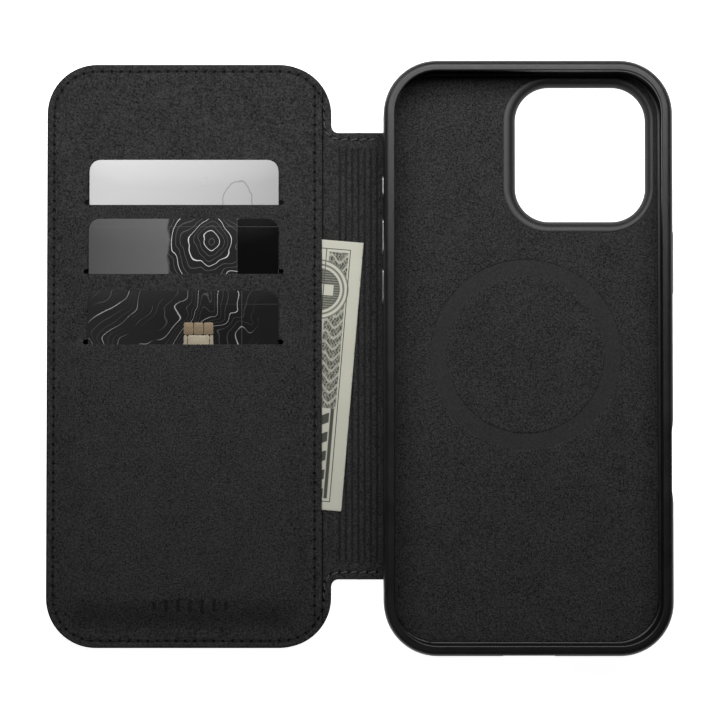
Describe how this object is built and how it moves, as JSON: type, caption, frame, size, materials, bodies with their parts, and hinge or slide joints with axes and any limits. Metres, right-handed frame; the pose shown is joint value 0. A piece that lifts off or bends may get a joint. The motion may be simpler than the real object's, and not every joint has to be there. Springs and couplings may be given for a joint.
{
  "type": "phone wallet case",
  "caption": "Open leather folio for a phone: cover with card slots and a cash pocket, folding spine, and a bumper case with a magnet ring and camera cutout.",
  "frame": {"origin": "middle of the lowest face of the open folio, lying on its back", "axes": "+X from the cover to the phone case, +Y to the phone's top end, +Z out of the inner side"},
  "size_m": [0.1782, 0.1678, 0.0123],
  "materials": {
    "leather": "fine pebbled grain",
    "microfibre": "short soft nap",
    "shell": "polycarbonate",
    "bumper": "satin TPU",
    "bezel": "satin",
    "ring_film": "smooth satin",
    "magnet": "nickel plated",
    "board": "pressed fibre board",
    "thread": "waxed polyester thread",
    "banknote": "printed cotton paper",
    "silver_card": "satin PVC",
    "grey_card": "satin PVC",
    "black_card": "satin PVC",
    "chip": "gold plated contacts",
    "key_metal": "bead blasted",
    "key_dark": "black anodised"
  },
  "bodies": {
    "case": {"back_leather": "leather", "back_shell": "shell", "case_lining": "microfibre", "magnet_ring_cover": "ring_film", "ring_magnets": "magnet", "alignment_magnet": "magnet", "camera_bezel": "bezel", "bumper": "bumper", "spine_lining_tab": "microfibre"},
    "spine": {"spine_leather": "leather", "spine_lining": "microfibre", "spine_stitching": "thread", "banknote_end": "banknote"},
    "cover": {"cover_leather": "leather", "cover_board": "board", "cash_pocket_lining": "microfibre", "pocket_backing": "microfibre", "card_panel": "microfibre", "pocket_divider_upper": "microfibre", "pocket_divider_lower": "microfibre", "perimeter_stitching": "thread", "panel_edge_stitching": "thread", "banknote": "banknote"},
    "top_card": {"card_top": "silver_card"},
    "middle_card": {"card_middle": "grey_card"},
    "lower_card": {"card_lower": "black_card", "card_chip": "chip"},
    "action_key": {"action_button": "key_metal"},
    "volume_up_key": {"volume_up_button": "key_metal"},
    "volume_down_key": {"volume_down_button": "key_metal"},
    "side_key": {"side_button": "key_dark"}
  },
  "joints": [
    {"name": "spine_fold", "type": "hinge", "parent": "case", "child": "spine", "pos_m": [0.00635, 0, 0.00245], "axis": [0, 1, 0], "range_deg": [0, 90]},
    {"name": "cover_fold", "type": "hinge", "parent": "spine", "child": "cover", "pos_m": [-0.00815, 0, 0.00245], "axis": [0, 1, 0], "range_deg": [0, 90]},
    {"name": "top_card_slide", "type": "slide", "parent": "cover", "child": "top_card", "axis": [0, 1, 0], "range_m": [0, 0.074]},
    {"name": "middle_card_slide", "type": "slide", "parent": "cover", "child": "middle_card", "axis": [0, 1, 0], "range_m": [0, 0.071]},
    {"name": "lower_card_slide", "type": "slide", "parent": "cover", "child": "lower_card", "axis": [0, 1, 0], "range_m": [0, 0.071]},
    {"name": "action_press", "type": "slide", "parent": "case", "child": "action_key", "axis": [1, 0, 0], "range_m": [0, 0.0004], "stiffness_N_per_m": 800},
    {"name": "volume_up_press", "type": "slide", "parent": "case", "child": "volume_up_key", "axis": [1, 0, 0], "range_m": [0, 0.0004], "stiffness_N_per_m": 800},
    {"name": "volume_down_press", "type": "slide", "parent": "case", "child": "volume_down_key", "axis": [1, 0, 0], "range_m": [0, 0.0004], "stiffness_N_per_m": 800},
    {"name": "side_press", "type": "slide", "parent": "case", "child": "side_key", "axis": [-1, 0, 0], "range_m": [0, 0.0004], "stiffness_N_per_m": 800}
  ]
}
